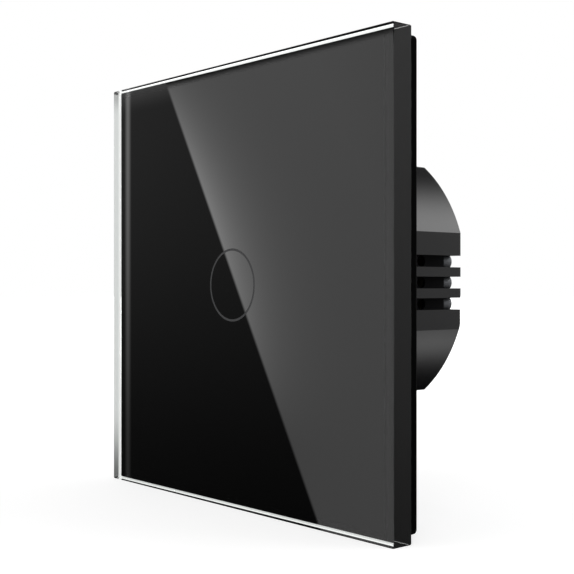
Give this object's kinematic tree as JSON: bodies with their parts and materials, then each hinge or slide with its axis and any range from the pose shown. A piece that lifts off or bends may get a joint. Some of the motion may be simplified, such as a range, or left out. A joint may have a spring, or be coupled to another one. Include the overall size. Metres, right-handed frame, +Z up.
{
  "type": "touch light switch",
  "caption": "Flush-mounted touch light switch: square black glass panel with a touch ring on a round relay module with a steel plate and side screw terminals.",
  "frame": {"origin": "middle of the wall-box screw pattern on the wall's plane, which is the steel plate's rear face", "axes": "+X right seen from the room, +Y into the wall, +Z up; the glass faces -Y"},
  "size_m": [0.08, 0.0331, 0.08],
  "materials": {
    "clear_glass": "tempered clear glass, polished faces and ground edges",
    "black_ink": "black ceramic ink on the back of the glass",
    "grey_ink": "translucent grey ink of the touch ring",
    "foam_tape": "double-sided mounting tape",
    "black_frame": "black moulded plastic, fine texture",
    "black_housing": "black moulded plastic, satin",
    "galvanised_steel": "galvanised sheet steel",
    "zinc_screw": "zinc-plated steel",
    "diffuser": "translucent white plastic",
    "green_board": "glass-fibre board with green solder mask",
    "spring_steel": "nickel-plated spring wire",
    "lamp_body": "white lamp body with clear lens",
    "black_epoxy": "black moulded epoxy",
    "tin": "tinned copper",
    "chip_ceramic": "brown chip ceramic",
    "header_plastic": "black header plastic",
    "gold_pin": "gold-plated brass",
    "capacitor_case": "yellow capacitor case",
    "capacitor_sleeve": "dark capacitor sleeve",
    "varistor_coat": "blue dipped epoxy",
    "fuse_body": "brown fuse case",
    "resistor_body": "beige resistor lacquer",
    "ferrite": "black ferrite",
    "copper_wire": "enamelled copper wire",
    "block_plastic": "black terminal plastic",
    "contact_metal": "tin-plated brass",
    "cage_metal": "nickel-plated steel",
    "relay_plastic": "dark relay plastic",
    "relay_case": "dark blue relay case",
    "soft_iron": "plated soft iron",
    "contact_alloy": "bronze spring with silver contact"
  },
  "bodies": {
    "module": {"mounting_plate": "galvanised_steel", "rear_housing": "black_housing", "front_cover": "black_frame", "housing_screws": "zinc_screw", "touch_board": "green_board", "light_guide": "diffuser", "touch_spring": "spring_steel", "indicator_leds": "lamp_body", "touch_chip": "black_epoxy", "touch_chip_leads": "tin", "small_parts": "chip_ceramic", "header_pins": "gold_pin", "header_carrier": "header_plastic", "header_socket": "header_plastic", "power_board": "green_board", "lead_wires": "tin", "film_capacitor": "capacitor_case", "electrolytic_capacitor": "capacitor_sleeve", "varistor": "varistor_coat", "fuse": "fuse_body", "resistors": "resistor_body", "transistor": "black_epoxy", "choke_core": "ferrite", "choke_winding": "copper_wire", "rectifier": "black_epoxy", "terminal_block": "block_plastic", "terminal_contacts": "contact_metal", "relay_base": "relay_plastic", "relay_pins": "tin", "relay_bobbin": "relay_plastic", "relay_winding": "copper_wire", "relay_core": "soft_iron", "relay_yoke": "soft_iron", "relay_fixed_contact": "contact_alloy", "relay_cover": "relay_case"},
    "front_panel": {"glass_panel": "clear_glass", "black_print": "black_ink", "ring_window": "grey_ink", "panel_tape": "foam_tape", "panel_frame": "black_frame"},
    "relay_flap": {"relay_armature": "soft_iron", "relay_leaf": "contact_alloy"},
    "clamp_screw_1": {"terminal_screw_1": "zinc_screw"},
    "clamp_cage_1": {"terminal_cage_1": "cage_metal"},
    "clamp_screw_2": {"terminal_screw_2": "zinc_screw"},
    "clamp_cage_2": {"terminal_cage_2": "cage_metal"},
    "clamp_screw_3": {"terminal_screw_3": "zinc_screw"},
    "clamp_cage_3": {"terminal_cage_3": "cage_metal"}
  },
  "joints": [
    {"name": "panel_pull", "type": "slide", "parent": "module", "child": "front_panel", "axis": [0, -1, 0], "range_m": [0, 0.03]},
    {"name": "clamp_turn_1", "type": "hinge", "parent": "module", "child": "clamp_screw_1", "pos_m": [0.0216, 0.0245, -0.00457], "axis": [0, -1, 0], "range_deg": [0, 1810]},
    {"name": "clamp_rise_1", "type": "slide", "parent": "module", "child": "clamp_cage_1", "axis": [0, 1, 0], "range_m": [0, 0.002]},
    {"name": "clamp_turn_2", "type": "hinge", "parent": "module", "child": "clamp_screw_2", "pos_m": [0.0216, 0.0245, -0.00076], "axis": [0, -1, 0], "range_deg": [0, 1810]},
    {"name": "clamp_rise_2", "type": "slide", "parent": "module", "child": "clamp_cage_2", "axis": [0, 1, 0], "range_m": [0, 0.002]},
    {"name": "clamp_turn_3", "type": "hinge", "parent": "module", "child": "clamp_screw_3", "pos_m": [0.0216, 0.0245, 0.00305], "axis": [0, -1, 0], "range_deg": [0, 1810]},
    {"name": "clamp_rise_3", "type": "slide", "parent": "module", "child": "clamp_cage_3", "axis": [0, 1, 0], "range_m": [0, 0.002]},
    {"name": "relay_flap_swing", "type": "hinge", "parent": "module", "child": "relay_flap", "pos_m": [-0.0079, 0.0226, -0.0114], "axis": [0, 0, 1], "range_deg": [0, 3.5], "stiffness_Nm_per_rad": 0.01, "springref_deg": -5.73}
  ],
  "couplings": [
    {"joint": "clamp_turn_1", "follows": "clamp_rise_1", "rad_per_m": 15708},
    {"joint": "clamp_turn_2", "follows": "clamp_rise_2", "rad_per_m": 15708},
    {"joint": "clamp_turn_3", "follows": "clamp_rise_3", "rad_per_m": 15708}
  ]
}
